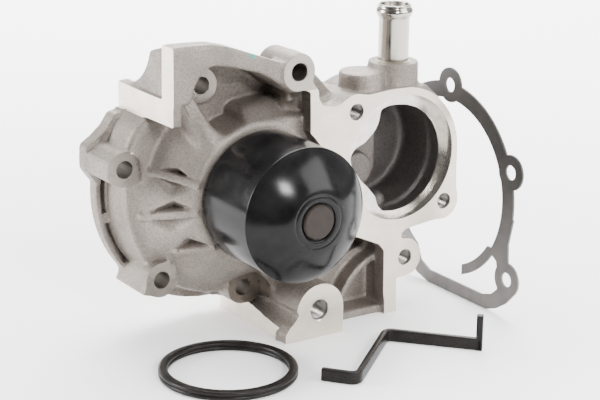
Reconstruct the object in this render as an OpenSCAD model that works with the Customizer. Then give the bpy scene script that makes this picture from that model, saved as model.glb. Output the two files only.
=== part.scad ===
// Coolant pump with a built-in thermostat housing, driven by a smooth pulley on the back of a timing belt.
// The origin is on the shaft axis, in the plane of the face that bolts to the engine block.
// -Y is the front, where the pulley is, +Z is up and +X is the thermostat side. Sizes are in millimetres.

/* [Pump body] */
// Height of the shaft axis above the foot
foot_h = 70; // [68:1:74]
// Distance from the block face to the front of the short bolt lugs
lug_front = 27; // [25:0.5:29]
// Distance from the block face to the front of the timing cover arch
arch_front = 51; // [50:0.5:52]
// Distance from the block face to the machined face of the thermostat cover
cover_front = 52; // [51:0.5:53]
// Distance from the block face to the front of the bracket boss
bracket_front = 61; // [58:0.5:64]
// Radius of the round part of the block flange
flange_r = 59.5; // [58:0.5:61]
// Thickness of the block flange
flange_t = 6; // [5:0.5:8]
// Radius of the impeller chamber
chamber_r = 43; // [41:0.5:44]
// Depth of the impeller chamber
chamber_d = 15; // [14:0.5:15.5]
// Radius of the holes for the block bolts
bolt_hole_r = 4.2; // [4.1:0.05:4.5]
// Radius of the tapped holes in the cover face
tapped_r = 3.4; // [3.3:0.05:3.6]

/* [Thermostat housing] */
// Distance of the thermostat axis to the right of the shaft axis
thermostat_x = 76.6; // [76:0.2:78]
// Height of the thermostat axis above the shaft axis
thermostat_z = 7.5; // [6:0.5:9]
// Radius of the thermostat recess
recess_r = 30.5; // [29:0.5:31]
// Depth of the thermostat recess
recess_d = 7; // [5:0.5:9]
// Distance between the two cover bolts, across the recess
cover_pcd = 74; // [73:0.5:75]
// Angle of the line through the cover bolts, down to the right
cover_angle = 44; // [43:0.5:46]

/* [Drive] */
// Diameter of the bearing shaft
shaft_d = 15.918; // [15.5:0.001:16]
// Outer diameter of the pulley's belt track
pulley_d = 62; // [60:0.5:64]
// Distance from the block face to the rear edge of the pulley
pulley_rear = 49.3; // [49:0.1:50]
// Distance from the block face to the front edge of the belt track
pulley_front = 85; // [83:0.5:86]
// Distance from the block face to the front of the pulley's hub
pulley_nose = 96.5; // [96:0.5:98]
// Thickness of the pulley's steel
pulley_t = 3; // [2.5:0.25:3.5]
// Outer diameter of the bearing
bearing_d = 30; // [29.8:0.1:30.2]
// Radius of the impeller
impeller_r = 36; // [33:0.5:38]
// Number of impeller vanes
vanes = 7; // [5:1:8]

/* [Hose tube] */
// Outer diameter of the hose tube
tube_d = 14.6; // [14:0.1:15]
// Height of the tube's mouth above the shaft axis
tube_top = 79.2; // [76:0.2:82]

/* [Loose seals] */
// Thickness of the body gasket
gasket_t = 1; // [0.6:0.1:1.4]
// Radius of the thermostat ring, to the middle of its section
ring_r = 29; // [28.5:0.1:30]
// Height of the cover strip seal
strip_h = 5.7; // [4:0.1:6]

/* [Hidden] */
$fn = 96;

cast = "silver";
steel = "lightslategray";
rubber = "dimgray";

shaft_r = shaft_d / 2;
pulley_r = pulley_d / 2;
bearing_r = bearing_d / 2;
tube_r = tube_d / 2;
table_z = -foot_h;
eps = 0.5; // how far a cut runs past the face it opens

// Block bolts that pass through short lugs, as [x, z]
block_bolts = [[-58.3, 15.2], [-40, -40.2], [3.8, -51.8], [-18.6, 49]];
lug_r = 8.3;
lug_spot_r = 7.6;
lug_spot_d = 1;
// Boss at the right end of the arch, beside the cover face
arch_bolt = [18.2, 55.7];
arch_boss_r = 8.6;
arch_boss_rear = 28;
arch_hole_d = 20;

// Volute wall and the cone that rises to the bearing boss
flange_c = [-2.5, -1.5];
wall_r = 54;
wall_front = 20;
cone_r = 52;
// Angles of the gussets that stand on the cone
gusset_angles = [164, -171.5, -140];
gusset_t = 4;
gusset_rise = 1.2;
gusset_foot = 24;
boss_r = 34;
boss_rear = 46.5;
boss_front = 47.5;
snout_r = 20.5;
snout_front = 71;

// Outlet pocket of the volute and the port beside it
port_d = 22;

// Seats along the shaft, as distances from the block face
seal_seat_front = 27;
weep_r = 11.5;
bearing_rear = 34;
bearing_len = 38.9;
bearing_front = bearing_rear + bearing_len;
weep_hole_r = 2.2;
weep_hole_y = 30.5;

// Arch that carries the timing cover, with its flat end pad facing -X
arch_t = 10;
pad_x = -46.6;
pad_low = 37.5;
pad_mid = 49;
pad_top = 73;
pocket_floor = 26;
pocket_floor_t = 6;
column_rear = 8;
column_front = 46;
step_rear = 15;
step_front = 40;
neck_wall_rear = 5;
neck_wall_front = 40;
arch_outer = [[pad_x, 46.5], [pad_x, pad_top], [-38.5, 73.6], [-26.2, 73], [-18, 71], [-10.4, 68.2],
              [4.3, 62.7], [14, 59.2]];
arch_inner = [[20, 48], [13.5, 44.6], [7, 51.5], [-2, 57], [-16.2, 61.3], [-26.9, 63.4], [-32.6, 60],
              [-36.1, 54.2], [-37.6, 48.1]];

// Lower block with the bracket boss, the foot and its flat side
side_x = 7.2;
foot_x1 = 76.5;
strip_x0 = 69;
web_front = 37;
bracket = [25.3, -57];
bracket_r = 13;
bracket_x1 = 38.3;
bracket_hole = [25, -56.6];
bracket_hole_r = 4.25;
bracket_hole_d = 20;
rib_c = [76, -70.5];
rib_r = 29;
rib_t = 3;
rib_front = 45;
floor_plate_front = 49;
floor_plate_t = 4;

// Thermostat housing
face_t = 9;
neck_front = 44;
rim_r = 33.9;
shell_rear = 9;
inner_r = 26;
inner_rear = 16;
cover_lug_r = 8.4;
cover_bolt_d = 16;
cover_lug_len = 20;
corner_lug_len = 18;
pulley_gap_r = 36;
corner_bolt = [80.5, -43.1];
corner_lug_r = 9.2;
corner_bolt_d = 14;
function cover_bolt(side) =
    [thermostat_x + side * cover_pcd / 2 * cos(cover_angle),
     thermostat_z - side * cover_pcd / 2 * sin(cover_angle)];

// Collar of the hose tube and the blank boss beside it, as [x, y]
collar = [79.9, -38.8];
collar_r = 12;
collar_top = 52;
tube_foot = 40; // height of the hose tube's lower end
tube_wall = 1.2;
tube_bead = 1.2;
passage_low = 20;
blank = [61.5, -39.2];
blank_r = 10.9;
blank_top = 49.2;
deck_z = 30;
deck_rear = 27;
deck_front = 50.5;

// Lays a 2D shape drawn in X and Z into the pump, from y = -rear forwards by len
module prism(rear, len) {
    translate([0, -rear, 0])
        rotate([90, 0, 0])
            linear_extrude(len)
                children();
}

// Cylinder along Y at [x, z], from y = -rear to y = -front
module barrel(c, r, rear, front) {
    translate([c[0], -rear, c[1]])
        rotate([90, 0, 0])
            cylinder(r = r, h = front - rear);
}

// Ring along Y, centred on the shaft
module collar_ring(r_in, r_out, rear, front) {
    difference() {
        barrel([0, 0], r_out, rear, front);
        barrel([0, 0], r_in, rear - eps, front + eps);
    }
}

// Turns a profile drawn as [radius, distance from the block face] round the shaft axis
module turned() {
    rotate([90, 0, 0])
        rotate_extrude()
            children();
}

// Points of an arc, from angle a0 to a1
function arc(c, r, a0, a1, n) =
    [for (i = [0 : n]) let (a = a0 + (a1 - a0) * i / n) [c[0] + r * cos(a), c[1] + r * sin(a)]];

// ---- housing ----

module block_flange() {
    barrel(flange_c, flange_r, 0, flange_t);
    prism(0, flange_t + 4)
        polygon([[-66, 12], [-64, 24], [-56.5, 31], [-46.6, 38], [-40, 38], [-40, 5], [-58, 5]]);
    for (b = block_bolts)
        barrel(b, lug_r, 0, lug_front);
}

module volute_wall() {
    barrel(flange_c, wall_r, flange_t - 1, wall_front);
    turned()
        polygon([[0, wall_front - 1], [cone_r, wall_front - 1], [cone_r, wall_front],
                 [boss_r, boss_rear], [boss_r, boss_front], [0, boss_front]]);
    barrel([0, 0], snout_r, boss_front - 1, snout_front);
}

module cone_gussets() {
    root_r = boss_r - 4;
    slope = (cone_r - boss_r) / (boss_rear - wall_front);
    crest_r = cone_r - slope * (gusset_foot - wall_front) + gusset_rise;
    for (a = gusset_angles)
        rotate([0, -a, 0])
            translate([0, 0, -gusset_t / 2])
                linear_extrude(gusset_t)
                    polygon([[root_r, -wall_front + 2], [crest_r, -wall_front + 2], [crest_r, -gusset_foot],
                             [boss_r + gusset_rise, -boss_rear], [root_r, -boss_rear]]);
}

module arch() {
    prism(arch_front - arch_t, arch_t)
        polygon(concat(arch_outer, arch_inner));
    barrel(arch_bolt, arch_boss_r, arch_boss_rear, cover_front);
    // end pad: a level leg along Y and an upright leg, joined by a web with a hollow edge
    translate([pad_x, -arch_front + 0.7, pad_low])
        cube([6, arch_front - 0.7, pad_mid - pad_low]);
    translate([pad_x, -arch_front + 0.7, pad_low])
        cube([3.5, arch_t, pad_top - pad_low]);
    translate([pad_x + 2.5, 0, 0])
        rotate([90, 0, 90])
            linear_extrude(5)
                polygon(concat(
                    [[-1, pad_low + 3], [-1, pad_mid + 0.4]],
                    arc([-2, pad_top + 1], 25, -88, -166, 9),
                    [[-arch_front + arch_t, pad_top - 0.5], [-arch_front + arch_t - 1, pad_low + 3]]));
    // pocket behind the arch: its floor, and the wall that joins the floor to the arch
    prism(pocket_floor - pocket_floor_t, pocket_floor_t)
        polygon([[-40, 38], [-39, 56], [-32, 63], [-22, 64.5], [-8, 61], [10, 54], [18, 44], [10, 30],
                 [-30, 30]]);
    difference() {
        prism(pocket_floor - 1, arch_front - arch_t - pocket_floor + 2)
            polygon([[-40.2, 46], [-39.2, 56], [-33.5, 64], [-26, 66.2], [-15, 64], [0, 59.2], [14, 54],
                     [20, 40], [-30, 36]]);
        prism(pocket_floor, arch_front)
            polygon(concat(arch_inner, [[-30, 30], [16, 30]]));
    }
}

module pocket_blocks() {
    // column between the pocket and the left side of the cone
    prism(column_rear, column_front - column_rear)
        polygon([[-35.2, 48], [-34.8, 42.9], [-26, 21], [-16.5, 25.4], [-27.2, 44.5], [-28, 50]]);
    // stepped block over the bearing boss
    prism(step_rear, step_front - step_rear)
        polygon([[-22, 20], [-21.9, 34.7], [-15.3, 38.4], [-13.8, 42.8], [6.3, 44.8], [22, 41], [30, 20]]);
    // wall between the stepped block and the cover face
    prism(neck_wall_rear, neck_wall_front - neck_wall_rear)
        polygon([[12, 40], [18, 56], [30, 52], [46, 40], [40, 10], [22, 20]]);
}

module lower_block() {
    // block behind the foot, down to the table
    prism(0, web_front)
        polygon([[side_x, -66], [11, table_z], [foot_x1, table_z], [foot_x1, -36], [66, -16], [40, -20],
                 [6, -44]]);
    // bracket boss with a round top and a hollow left side
    prism(web_front - 1, bracket_front - web_front + 1)
        polygon(concat(
            [[side_x, table_z], [bracket_x1, table_z]],
            arc(bracket, bracket_r, 0, 172, 14),
            arc([0, -50], 15.3, -28, -55, 5),
            [[side_x, -66]]));
    // strip under the cover face
    prism(web_front - 1, cover_front - web_front + 1)
        polygon([[strip_x0, table_z], [foot_x1, table_z], [foot_x1, -30], [strip_x0, -30]]);
    // floor plate and curved rib between the boss and the strip
    prism(web_front - 1, floor_plate_front - web_front + 1)
        polygon([[bracket_x1 - 2, table_z], [strip_x0 + 1, table_z], [strip_x0 + 1, table_z + floor_plate_t],
                 [bracket_x1 - 2, table_z + floor_plate_t]]);
    prism(web_front - 1, rib_front - web_front + 1)
        polygon(concat(
            arc(rib_c, rib_r + rib_t / 2, 100, 172, 10),
            arc(rib_c, rib_r - rib_t / 2, 172, 100, 10)));
}

module thermostat_shell() {
    barrel([thermostat_x, thermostat_z], rim_r, shell_rear, cover_front);
    // machined face plate, with its edge following the pulley on the left
    difference() {
        prism(cover_front - face_t, face_t)
            polygon(concat(
                [[24.5, 28], [24.5, 46], [20, 48], [18, 60], [27.5, 55], [28.9, 42], [31.2, 38.7],
                 [38.6, 37.4], [44, 39.5], [55, 40.4], [70, 41.2]],
                arc([thermostat_x, thermostat_z], rim_r, 95, 0, 10),
                [[110.5, -19], [105, -26.5], [91.4, -27.6], [80.4, -29], [78.2, -31], [78.6, -34.5], [76, -40],
                 [strip_x0, -45], [strip_x0 - 0.8, -38], [65, -33.8], [51.7, -27.8], [40, -24], [20, 0]]));
        barrel([0, 0], pulley_gap_r, boss_front, cover_front + eps);
    }
    for (side = [-1, 1])
        barrel(cover_bolt(side), cover_lug_r, cover_front - cover_lug_len, cover_front);
    barrel(corner_bolt, corner_lug_r, cover_front - corner_lug_len, cover_front);
    // neck between the shell and the volute
    prism(0, neck_front)
        polygon([[30, 36], [56, 40], [62, 20], [62, -20], [40, -30], [30, -20]]);
}

module hose_collar() {
    translate([collar[0], collar[1], deck_z])
        cylinder(r = collar_r, h = collar_top - deck_z);
    translate([blank[0], blank[1], deck_z])
        cylinder(r = blank_r, h = blank_top - deck_z);
    // deck under both
    prism(deck_rear, deck_front - deck_rear)
        polygon([[44, 30], [44, 39.4], [52, 41.2], [70, 43.6], [92, 43.2], [98, 33], [90, 30]]);
}

module housing_cuts() {
    // impeller chamber, seal seat, weep chamber and bearing seat
    barrel([0, 0], chamber_r, -eps, chamber_d);
    barrel([0, 0], bearing_r, 0, seal_seat_front);
    barrel([0, 0], weep_r, 0, bearing_rear + 1);
    barrel([0, 0], bearing_r, bearing_rear, snout_front + eps);
    translate([0, -weep_hole_y, -60])
        cylinder(r = weep_hole_r, h = 55, $fn = 32);
    // outlet pocket of the volute and the port beside it, both open to the block
    prism(-eps, port_d + eps)
        polygon([[30, -40], [13, -56], [17, -64], [62, -64], [70, -56], [70, -40], [60, -22], [42, -16]]);
    // duct from the port up into the thermostat chamber
    prism(-eps, port_d + eps)
        polygon([[38, -22], [62, -30], [70, -6], [52, 16], [38, 20]]);
    // thermostat recess and the chamber behind it
    barrel([thermostat_x, thermostat_z], recess_r, cover_front - recess_d, cover_front + eps);
    barrel([thermostat_x, thermostat_z], inner_r, inner_rear, cover_front);
    // hose tube seat
    translate([collar[0], collar[1], tube_foot])
        cylinder(r = tube_r, h = collar_top - tube_foot + eps);
    translate([collar[0], collar[1], passage_low])
        cylinder(r = tube_r - tube_wall - 0.1, h = tube_foot - passage_low + eps);
    // bolt holes and their spot faces
    for (b = block_bolts) {
        barrel(b, bolt_hole_r, -eps, arch_front);
        barrel(b, lug_spot_r, lug_front - lug_spot_d, arch_front);
    }
    barrel(arch_bolt, bolt_hole_r, cover_front - arch_hole_d, cover_front + eps);
    for (side = [-1, 1])
        barrel(cover_bolt(side), tapped_r, cover_front - cover_bolt_d, cover_front + eps);
    barrel(corner_bolt, tapped_r, cover_front - corner_bolt_d, cover_front + eps);
    barrel(bracket_hole, bracket_hole_r, bracket_front - bracket_hole_d, bracket_front + eps);
}

module housing() {
    color(cast)
        difference() {
            union() {
                block_flange();
                volute_wall();
                cone_gussets();
                arch();
                pocket_blocks();
                lower_block();
                thermostat_shell();
                hose_collar();
            }
            housing_cuts();
        }
}

// ---- hose tube ----

module hose_tube() {
    bead_z = tube_top - 5;
    color("gainsboro")
        translate([collar[0], collar[1], 0])
            rotate_extrude()
                polygon([[tube_r - tube_wall, tube_foot], [tube_r, tube_foot], [tube_r, bead_z],
                         [tube_r + tube_bead, bead_z + tube_bead], [tube_r + tube_bead, bead_z + 2 * tube_bead],
                         [tube_r, bead_z + 3 * tube_bead], [tube_r, tube_top - 0.4],
                         [tube_r - 0.4, tube_top], [tube_r - tube_wall, tube_top]]);
}

// ---- bearing ----

ball_r = 3;
ball_pitch_r = shaft_r + 2.25;
ball_pos = bearing_rear + 10;
ball_count = 9;
race_gap = 0.12;
roller_r = 2;
roller_len = 11;
roller_pitch_r = shaft_r + roller_r + race_gap;
roller_pos = bearing_front - 12;
roller_count = 14;
outer_bore_r = roller_pitch_r + roller_r + race_gap;
lip_seat_r = 13;
cage_gap = 0.35;

module bearing_outer_ring() {
    color(steel)
        difference() {
            collar_ring(outer_bore_r, bearing_r, bearing_rear, bearing_front);
            turned()
                translate([ball_pitch_r, ball_pos])
                    circle(r = ball_r + race_gap);
            barrel([0, 0], lip_seat_r, bearing_rear - eps, bearing_rear + 3.5);
            barrel([0, 0], lip_seat_r, bearing_front - 3.5, bearing_front + eps);
        }
}

module bearing_balls() {
    color("gainsboro")
        for (i = [0 : ball_count - 1])
            rotate([0, i * 360 / ball_count, 0])
                translate([ball_pitch_r, -ball_pos, 0])
                    sphere(r = ball_r, $fn = 48);
}

module bearing_rollers() {
    color("gainsboro")
        for (i = [0 : roller_count - 1])
            rotate([0, i * 360 / roller_count, 0])
                barrel([roller_pitch_r, 0], roller_r, roller_pos - roller_len / 2, roller_pos + roller_len / 2);
}

module ball_cage() {
    color("darkolivegreen")
        difference() {
            collar_ring(shaft_r + 1.2, outer_bore_r - 0.6, ball_pos - 5.5, ball_pos + 5.5);
            for (i = [0 : ball_count - 1])
                rotate([0, i * 360 / ball_count, 0])
                    translate([ball_pitch_r, -ball_pos, 0])
                        rotate([0, 90, 0])
                            cylinder(r = ball_r + 0.1, h = 8, center = true, $fn = 48);
        }
}

module roller_cage() {
    color("darkolivegreen")
        difference() {
            collar_ring(shaft_r + 1.1, outer_bore_r - 0.9, roller_pos - roller_len / 2 - 2,
                        roller_pos + roller_len / 2 + 2);
            for (i = [0 : roller_count - 1])
                rotate([0, i * 360 / roller_count, 0])
                    barrel([roller_pitch_r, 0], roller_r + 0.1, roller_pos - roller_len / 2 - 0.1,
                           roller_pos + roller_len / 2 + 0.1);
        }
}

// Lip seal: a steel ring with a rubber lip that stops just short of the shaft
module lip_seal(rear) {
    color(rubber)
        collar_ring(shaft_r + cage_gap, lip_seat_r, rear, rear + 2.4);
}

module bearing_seal_front() {
    lip_seal(bearing_front - 3);
}

module bearing_seal_rear() {
    lip_seal(bearing_rear + 0.6);
}

module slinger() {
    color(rubber)
        turned()
            polygon([[shaft_r, 28.2], [9.6, 28.2], [10.6, 29.2], [10.6, 30.4], [9.4, 30.4], [9.4, 32.6],
                     [shaft_r, 32.6]]);
}

// ---- mechanical seal ----

sleeve_r = shaft_r + 0.7;

module seal_sleeve() {
    color("gold")
        turned()
            polygon([[shaft_r, 14.6], [12.6, 14.6], [12.6, 15.2], [sleeve_r, 15.2], [sleeve_r, 26.4],
                     [shaft_r, 26.4]]);
}

module seat_cup() {
    color("black")
        turned()
            polygon([[sleeve_r, 15.2], [12.6, 15.2], [12.6, 18.2], [11.8, 18.2], [11.8, 16.2],
                     [sleeve_r, 16.2]]);
}

module seat_ring() {
    color("dimgray")
        turned()
            polygon([[sleeve_r, 16.2], [11.8, 16.2], [11.8, 19], [sleeve_r, 19]]);
}

module carbon_ring() {
    color("darkslategray")
        turned()
            polygon([[sleeve_r + 0.4, 20], [9.7, 20], [9.7, 19.1], [11.2, 19.1], [11.2, 20], [12.2, 20],
                     [12.2, 22], [sleeve_r + 0.4, 22]]);
}

module seal_bellows() {
    color("black")
        turned()
            polygon([[sleeve_r + 0.4, 22], [13.2, 22], [13.2, 22.8], [10.4, 23], [10.4, 24.4], [12, 25.2],
                     [12, 26.3], [sleeve_r + 0.4, 26.3], [sleeve_r + 0.4, 25.2], [sleeve_r + 1.2, 24.2],
                     [sleeve_r + 1.2, 23]]);
}

// Coil spring of round wire, swept as rings of points along its helix
spring_r = 12.9;
spring_wire_r = 0.45;
spring_turns = 2.5;
spring_rear = 23.4;
spring_pitch = 0.96;
spring_steps = 60;
wire_sides = 8;

function coil_point(i, j) =
    let (a = 360 * spring_turns * i / spring_steps, b = 360 * j / wire_sides,
         r = spring_r + spring_wire_r * cos(b),
         y = spring_rear + spring_pitch * spring_turns * i / spring_steps + spring_wire_r * sin(b))
    [r * cos(a), -y, r * sin(a)];

module seal_spring() {
    n = wire_sides;
    last = spring_steps * n;
    color("gainsboro")
        polyhedron(
            points = [for (i = [0 : spring_steps], j = [0 : n - 1]) coil_point(i, j)],
            faces = concat(
                [[for (j = [0 : n - 1]) j]],
                [[for (j = [n - 1 : -1 : 0]) last + j]],
                [for (i = [0 : spring_steps - 1], j = [0 : n - 1])
                    [i * n + j, (i + 1) * n + j, (i + 1) * n + (j + 1) % n, i * n + (j + 1) % n]]));
}

module seal_case() {
    color("goldenrod")
        turned()
            polygon([[bearing_r, 16.5], [bearing_r, seal_seat_front], [9.6, seal_seat_front], [9.6, 26.3],
                     [14.3, 26.3], [14.3, 17.2], [14.3, 16.5]]);
}

// ---- rotor ----

module shaft() {
    color("slategray")
        difference() {
            turned()
                polygon([[0, 2], [shaft_r - 0.6, 2], [shaft_r, 2.6], [shaft_r, pulley_nose - 0.8],
                         [shaft_r - 0.7, pulley_nose - 0.1], [0, pulley_nose - 0.1]]);
            turned()
                translate([ball_pitch_r, ball_pos])
                    circle(r = ball_r + race_gap);
        }
}

vane_r = 30;
vane_t = 1.8;
vane_rear = 2;
vane_hub_r = 13;
impeller_disc_rear = 11.5;
impeller_disc_front = 13.6;

// One vane, swept back from the hub to the rim
module vane() {
    vane_c = [vane_hub_r, 6 - vane_r];
    prism(vane_rear, impeller_disc_rear - vane_rear + 0.3)
        intersection() {
            difference() {
                translate(vane_c)
                    circle(r = vane_r);
                translate(vane_c)
                    circle(r = vane_r - vane_t);
            }
            translate([vane_hub_r - 5, -impeller_r / 2])
                square(impeller_r);
            circle(r = impeller_r - 0.5);
        }
}

module impeller() {
    color("silver")
        difference() {
            union() {
                barrel([0, 0], impeller_r, impeller_disc_rear, impeller_disc_front);
                barrel([0, 0], vane_hub_r + 0.5, vane_rear + 0.5, impeller_disc_rear + 0.5);
                for (i = [0 : vanes - 1])
                    rotate([0, i * 360 / vanes, 0])
                        vane();
            }
            barrel([0, 0], shaft_r, 1, 15);
        }
}

module pulley() {
    rim_in = pulley_r - pulley_t;
    hub_r = 11.2;
    dome_r = 14;
    shoulder = pulley_nose - 0.6;
    dome_h = shoulder - pulley_front - 0.9; // rise of the rounded front from the rim to the hub
    hub_rear = pulley_front - 7;
    color("black")
        turned()
            polygon(concat(
                [[pulley_r, pulley_rear + 0.5], [pulley_r, pulley_front - 0.4],
                 [pulley_r - 0.5, pulley_front + 0.3]],
                [for (i = [1 : 7]) let (a = 90 * i / 8)
                    [dome_r + (pulley_r - 1 - dome_r) * cos(a), pulley_front + 0.6 + dome_h * sin(a)]],
                [[hub_r + 0.6, shoulder - 0.1], [hub_r, pulley_nose - 1.2], [shaft_r + 0.7, pulley_nose - 1.2],
                 [shaft_r, pulley_nose - 2], [shaft_r, hub_rear], [hub_r, hub_rear],
                 [hub_r, shoulder - pulley_t - 2]],
                [for (i = [6 : -1 : 1]) let (a = 90 * i / 8)
                    [dome_r + (rim_in - 1 - dome_r) * cos(a), pulley_front - 2.6 + dome_h * sin(a)]],
                [[rim_in, pulley_front - 4], [rim_in, pulley_rear], [pulley_r - 0.5, pulley_rear]]));
}

// ---- loose seals, laid out on the table ----

gasket_x = 115.3;
gasket_c = [-38, -14.8];
gasket_in_r = 43.5;
gasket_out_r = 51.5;
gasket_hole_r = 3.6;
gasket_lug_r = 8.6;
// Lugs of the gasket, as [y, z]: the last two stand behind the pump
gasket_lugs = [[-38.2, 35.4], [-86.5, 2.7], [-87, -50.8], [-7, -58], [14, 6]];
port_edge = table_z + 6.6; // upper side of the gasket's straight edge

// Outline drawn in Y and Z
module gasket_outline() {
    difference() {
        union() {
            difference() {
                union() {
                    translate(gasket_c)
                        circle(r = gasket_out_r);
                    polygon([[-90, -20], [-87, -33], [-87.5, -44], [-92, -58], [-87, -63.2], [-80, -67.6],
                             [-73, table_z], [-26, table_z], [-17, -67.5], [-4, -60], [2, -46]]);
                }
                translate(gasket_c)
                    circle(r = gasket_in_r);
                polygon([[-75, -41], [-79, -43.6], [-80.5, -50], [-80.5, -57.6], [-76, -61.4],
                         [-69, port_edge], [-27, port_edge], [-19.5, -60], [-15, -50], [-26, -51]]);
            }
            // tongue that divides the port from the chamber
            difference() {
                translate(gasket_c)
                    circle(r = gasket_in_r + 2.4);
                translate(gasket_c)
                    circle(r = gasket_in_r - 2.6);
                translate([-53, -120])
                    square([100, 200]);
                translate([-140, -38])
                    square([100, 200]);
            }
            for (p = gasket_lugs)
                translate(p)
                    circle(r = gasket_lug_r);
        }
        for (p = gasket_lugs)
            translate(p)
                circle(r = gasket_hole_r);
    }
}

module gasket() {
    color("dimgray")
        translate([gasket_x, 0, 0])
            rotate([90, 0, 90])
                linear_extrude(gasket_t)
                    gasket_outline();
}

ring_c = [-34.6, -77];
ring_w = 4.3;
ring_h = 4.2;
ring_edge = 0.5; // corner and groove size of the ring's section

// Section of the ring: w wide and h high, with a groove half way up each side
module ring_section(w, h, e) {
    polygon([[e, 0], [w - e, 0], [w, e], [w, h / 2 - e], [w - e, h / 2], [w, h / 2 + e], [w, h - e],
             [w - e, h], [e, h], [0, h - e], [0, h / 2 + e], [e, h / 2], [0, h / 2 - e], [0, e]]);
}

module thermostat_ring() {
    color("black")
        translate([ring_c[0], ring_c[1], table_z])
            rotate_extrude()
                translate([ring_r - ring_w / 2, 0])
                    ring_section(ring_w, ring_h, ring_edge);
}

strip_t = 3;
strip_path = [[-3, -104.5], [7.1, -117.3], [49, -80.7], [79.6, -114.3]];
strip_leg = 17;

// Unit vector across the run from a to b, to its left
function across(a, b) = let (d = (b - a) / norm(b - a)) [-d[1], d[0]];

// Corner of the strip at point i, on the side of sign, mitred between its two runs
function mitre(i, sign) =
    let (p = strip_path,
         n0 = across(p[max(i - 1, 0)], p[max(i, 1)]),
         n1 = across(p[min(i, 2)], p[min(i + 1, 3)]),
         m = (n0 + n1) / norm(n0 + n1))
    p[i] + sign * m * strip_t / 2 / (m * n0);

module cover_seal_strip() {
    dir = (strip_path[3] - strip_path[2]) / norm(strip_path[3] - strip_path[2]);
    color("black") {
        translate([0, 0, table_z])
            linear_extrude(strip_h)
                polygon(concat([for (i = [0 : 3]) mitre(i, 1)], [for (i = [3 : -1 : 0]) mitre(i, -1)]));
        translate([0, 0, table_z])
            linear_extrude(strip_leg)
                polygon([mitre(3, 1), mitre(3, -1), mitre(3, -1) - dir * strip_t, mitre(3, 1) - dir * strip_t]);
    }
}

housing();
hose_tube();
bearing_outer_ring();
bearing_balls();
ball_cage();
bearing_rollers();
roller_cage();
bearing_seal_front();
bearing_seal_rear();
seal_case();
seal_bellows();
seal_spring();
carbon_ring();
seat_ring();
seat_cup();
seal_sleeve();
slinger();
shaft();
impeller();
pulley();
gasket();
thermostat_ring();
cover_seal_strip();
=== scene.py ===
import math

import bmesh
import bpy
import numpy as np
from mathutils import Matrix, Vector


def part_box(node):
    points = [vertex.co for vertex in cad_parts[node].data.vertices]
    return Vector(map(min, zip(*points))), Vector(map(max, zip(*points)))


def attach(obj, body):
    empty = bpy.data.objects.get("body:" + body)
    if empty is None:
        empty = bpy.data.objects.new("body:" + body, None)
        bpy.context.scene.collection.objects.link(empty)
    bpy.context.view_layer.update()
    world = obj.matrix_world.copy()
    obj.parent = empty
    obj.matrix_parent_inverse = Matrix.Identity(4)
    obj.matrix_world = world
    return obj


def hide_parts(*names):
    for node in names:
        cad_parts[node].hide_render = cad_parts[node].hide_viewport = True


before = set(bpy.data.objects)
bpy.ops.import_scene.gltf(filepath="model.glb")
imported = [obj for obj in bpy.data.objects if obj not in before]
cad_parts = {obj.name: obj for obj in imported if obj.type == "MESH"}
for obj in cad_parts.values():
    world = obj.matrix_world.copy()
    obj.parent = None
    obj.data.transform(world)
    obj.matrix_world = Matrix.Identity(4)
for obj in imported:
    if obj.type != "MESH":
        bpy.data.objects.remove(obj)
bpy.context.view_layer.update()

# Lengths are in millimetres until a mesh is made. The shaft axis is x = z = 0. A point's "depth" is its
# distance in front of the block face, so that depth = -y. Outlines are lists of (x, z).
MM = 0.001
FAR = 1e3


# ---------------------------------------------------------------- distance fields

def soft_min(a, b, k):
    """Union of two distances, with a fillet of size k where they meet."""
    if k <= 0:
        return np.minimum(a, b)
    h = np.maximum(k - np.abs(a - b), 0) / k
    return np.minimum(a, b) - h * h * k / 4


def soft_max(a, b, k):
    """Overlap of two distances, with its edge rounded over by k."""
    return -soft_min(-a, -b, k)


def unit(v):
    return v / np.linalg.norm(v)


def curve(start, corner, end, steps):
    """Points of a curve that leaves start towards the corner and comes from the corner to end."""
    return [(1 - t) ** 2 * start + 2 * t * (1 - t) * corner + t * t * end
            for t in (k / steps for k in range(steps + 1))]


def outline_distance(points, u, v):
    """Distance from (u, v) to a closed outline, negative inside it."""
    nearest = None
    inside = False
    for (u0, v0), (u1, v1) in zip(points, points[1:] + points[:1]):
        du, dv = u1 - u0, v1 - v0
        pu, pv = u - u0, v - v0
        t = np.clip((pu * du + pv * dv) / (du * du + dv * dv), 0, 1)
        gap = (pu - t * du) ** 2 + (pv - t * dv) ** 2
        nearest = gap if nearest is None else np.minimum(nearest, gap)
        if dv:
            inside = inside ^ (((v0 > v) != (v1 > v)) & (u < u0 + (v - v0) * du / dv))
    return np.where(inside, -1, 1) * np.sqrt(nearest)


def rounded(points, radius):
    """The outline with each corner turned into a small arc, or the outline itself for no radius."""
    if not radius:
        return points
    out = []
    count = len(points)
    for i, corner in enumerate(points):
        here = np.array(corner, float)
        before = np.array(points[i - 1], float) - here
        after = np.array(points[(i + 1) % count], float) - here
        reach = min(radius, 0.45 * np.linalg.norm(before), 0.45 * np.linalg.norm(after))
        bend = curve(here + unit(before) * reach, here, here + unit(after) * reach, 3)
        out += [tuple(p) for p in bend]
    return out


def arc(centre, radius, start, end, steps):
    """Points of an arc, with its angles in degrees."""
    return [(centre[0] + radius * math.cos(math.radians(start + (end - start) * i / steps)),
             centre[1] + radius * math.sin(math.radians(start + (end - start) * i / steps)))
            for i in range(steps + 1)]


class Solid:
    """A shape: two corners of its box, and a function from (x, depth, z) to the distance to its surface."""

    def __init__(self, low, high, distance):
        self.low, self.high, self.distance = low, high, distance


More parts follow.
